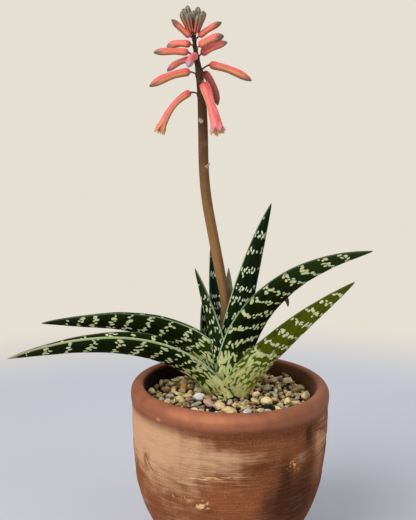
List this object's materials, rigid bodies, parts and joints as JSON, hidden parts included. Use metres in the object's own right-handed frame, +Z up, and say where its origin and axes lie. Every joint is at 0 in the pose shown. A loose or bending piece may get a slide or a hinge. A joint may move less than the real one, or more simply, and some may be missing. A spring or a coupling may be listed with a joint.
{
  "type": "potted tiger aloe",
  "caption": "Small banded aloe in flower: a rosette of channelled, spotted leaves and one stalk of tubular flowers, planted in a round clay pot dressed with pebbles.",
  "frame": {"origin": "centre of the box's bottom, on the surface the pot stands on", "axes": "+Z up; +X to the right seen from the front; +Y to the back, so the front faces -Y"},
  "size_m": [0.2486, 0.1526, 0.3868],
  "materials": {
    "dry_bract": "dry and papery, matte",
    "bud": "fleshy closed buds, satin",
    "petal": "fleshy petals, satin",
    "flower_stalk": "smooth fibrous stem, satin",
    "gravel": "mixed small pebbles, matte",
    "leaf": "waxy succulent skin, satin, banded with pale spots",
    "pot": "unglazed terracotta, matte, with pale mineral bloom",
    "root": "fibrous, matte",
    "soil": "loose matte potting mix",
    "stone_blue_grey": "water-worn, matte",
    "stone_cream": "water-worn, matte",
    "stone_orange": "water-worn, matte",
    "stone_pink": "water-worn, matte",
    "stone_tan_left": "water-worn, matte",
    "stone_tan_right": "water-worn, matte",
    "stone_white": "water-worn, matte",
    "stone_yellow": "water-worn, matte"
  },
  "bodies": {
    "root": {"bract_lower": "dry_bract", "bract_upper": "dry_bract", "bud_left": "bud", "bud_right": "bud", "bud_tip_left": "bud", "bud_tip_middle": "bud", "bud_tip_right": "bud", "bud_top_behind": "bud", "bud_top_front_left": "bud", "bud_top_front_right": "bud", "bud_top_left": "bud", "bud_top_right": "bud", "flower_front": "petal", "flower_left_behind": "petal", "flower_left_hanging": "petal", "flower_left_large": "petal", "flower_left_level": "petal", "flower_left_upper": "petal", "flower_right_behind": "petal", "flower_right_hanging": "petal", "flower_right_large": "petal", "flower_right_shaded": "petal", "flower_right_upper": "petal", "flower_stalk": "flower_stalk", "gravel_bed": "gravel", "leaf_back_left": "leaf", "leaf_big_right": "leaf", "leaf_dry_tip": "leaf", "leaf_front_left": "leaf", "leaf_front_right": "leaf", "leaf_low_back": "leaf", "leaf_low_back_left": "leaf", "leaf_narrow_back": "leaf", "leaf_small_front": "leaf", "leaf_small_left": "leaf", "leaf_tall_back": "leaf", "leaf_tall_right": "leaf", "pot": "pot", "root_stock": "root", "soil": "soil", "stone_blue_grey": "stone_blue_grey", "stone_cream": "stone_cream", "stone_orange": "stone_orange", "stone_pink": "stone_pink", "stone_tan_left": "stone_tan_left", "stone_tan_right": "stone_tan_right", "stone_white": "stone_white", "stone_yellow": "stone_yellow"}
  },
  "joints": []
}
